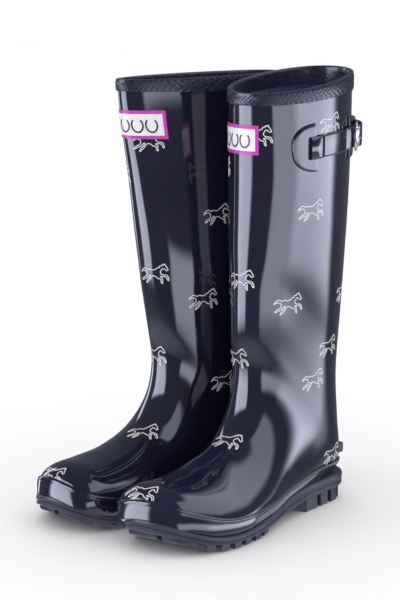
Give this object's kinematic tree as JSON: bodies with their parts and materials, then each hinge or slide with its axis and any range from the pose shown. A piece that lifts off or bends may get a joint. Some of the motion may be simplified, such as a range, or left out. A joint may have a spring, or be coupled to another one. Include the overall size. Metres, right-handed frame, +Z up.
{
  "type": "tall rubber riding boots",
  "caption": "Pair of tall glossy navy rubber wellington riding boots with a strap and roller buckle at the rim, a textile lining, a raised rand and a treaded heeled sole.",
  "frame": {"origin": "centre of the pair's footprint, on the floor", "axes": "+Z up, toes towards -Y, the wearer's left boot at +X and the right boot at -X"},
  "size_m": [0.2234, 0.2922, 0.4027],
  "materials": {
    "gloss_rubber": "high gloss lacquered rubber",
    "sole_rubber": "semi-gloss moulded rubber",
    "rim_tape": "gloss embossed rubber tape",
    "lining_fabric": "knitted cotton lining",
    "insole_fabric": "textile-faced foam",
    "label_plastic": "printed gloss film with a pink border",
    "buckle_metal": "polished nickel plate"
  },
  "bodies": {
    "left_boot": {"left_outsole": "sole_rubber", "left_footbed": "insole_fabric", "left_upper": "gloss_rubber", "left_lining": "lining_fabric", "left_rand": "gloss_rubber", "left_kick_lug": "sole_rubber", "left_binding": "rim_tape", "left_label": "label_plastic", "left_strap_pad": "gloss_rubber", "left_buckle_pad": "gloss_rubber", "left_strap": "gloss_rubber", "left_buckle_tab": "gloss_rubber", "left_strap_keeper": "gloss_rubber"},
    "left_buckle_frame": {"left_buckle_frame": "buckle_metal"},
    "left_buckle_roller": {"left_buckle_roller": "buckle_metal"},
    "left_buckle_prong": {"left_buckle_prong": "buckle_metal"},
    "right_boot": {"right_outsole": "sole_rubber", "right_footbed": "insole_fabric", "right_upper": "gloss_rubber", "right_lining": "lining_fabric", "right_rand": "gloss_rubber", "right_kick_lug": "sole_rubber", "right_binding": "rim_tape", "right_label": "label_plastic", "right_strap_pad": "gloss_rubber", "right_buckle_pad": "gloss_rubber", "right_strap": "gloss_rubber", "right_buckle_tab": "gloss_rubber", "right_strap_keeper": "gloss_rubber"},
    "right_buckle_frame": {"right_buckle_frame": "buckle_metal"},
    "right_buckle_roller": {"right_buckle_roller": "buckle_metal"},
    "right_buckle_prong": {"right_buckle_prong": "buckle_metal"}
  },
  "joints": [
    {"name": "right_boot_lift", "type": "slide", "parent": "left_boot", "child": "right_boot", "axis": [0, 0, 1], "range_m": [0, 0.45]},
    {"name": "left_buckle_hinge", "type": "hinge", "parent": "left_boot", "child": "left_buckle_frame", "pos_m": [0.09676, 0.1144, 0.34371], "axis": [0.049, -0.0543, 0.9973], "range_deg": [0, 50]},
    {"name": "left_prong_hinge", "type": "hinge", "parent": "left_buckle_frame", "child": "left_buckle_prong", "pos_m": [0.09676, 0.1144, 0.34371], "axis": [0.049, -0.0543, 0.9973], "range_deg": [0, 12]},
    {"name": "left_roller_spin", "type": "hinge", "parent": "left_buckle_frame", "child": "left_buckle_roller", "pos_m": [0.10683, 0.09628, 0.34223], "axis": [0.049, -0.0543, 0.9973], "continuous": true},
    {"name": "right_buckle_hinge", "type": "hinge", "parent": "right_boot", "child": "right_buckle_frame", "pos_m": [-0.0522, 0.12401, 0.34385], "axis": [0.0468, 0.059, -0.9972], "range_deg": [0, 50]},
    {"name": "right_prong_hinge", "type": "hinge", "parent": "right_buckle_frame", "child": "right_buckle_prong", "pos_m": [-0.0522, 0.12401, 0.34385], "axis": [0.0468, 0.059, -0.9972], "range_deg": [0, 12]},
    {"name": "right_roller_spin", "type": "hinge", "parent": "right_buckle_frame", "child": "right_buckle_roller", "pos_m": [-0.0659, 0.10947, 0.34234], "axis": [0.0468, 0.059, -0.9972], "continuous": true}
  ]
}
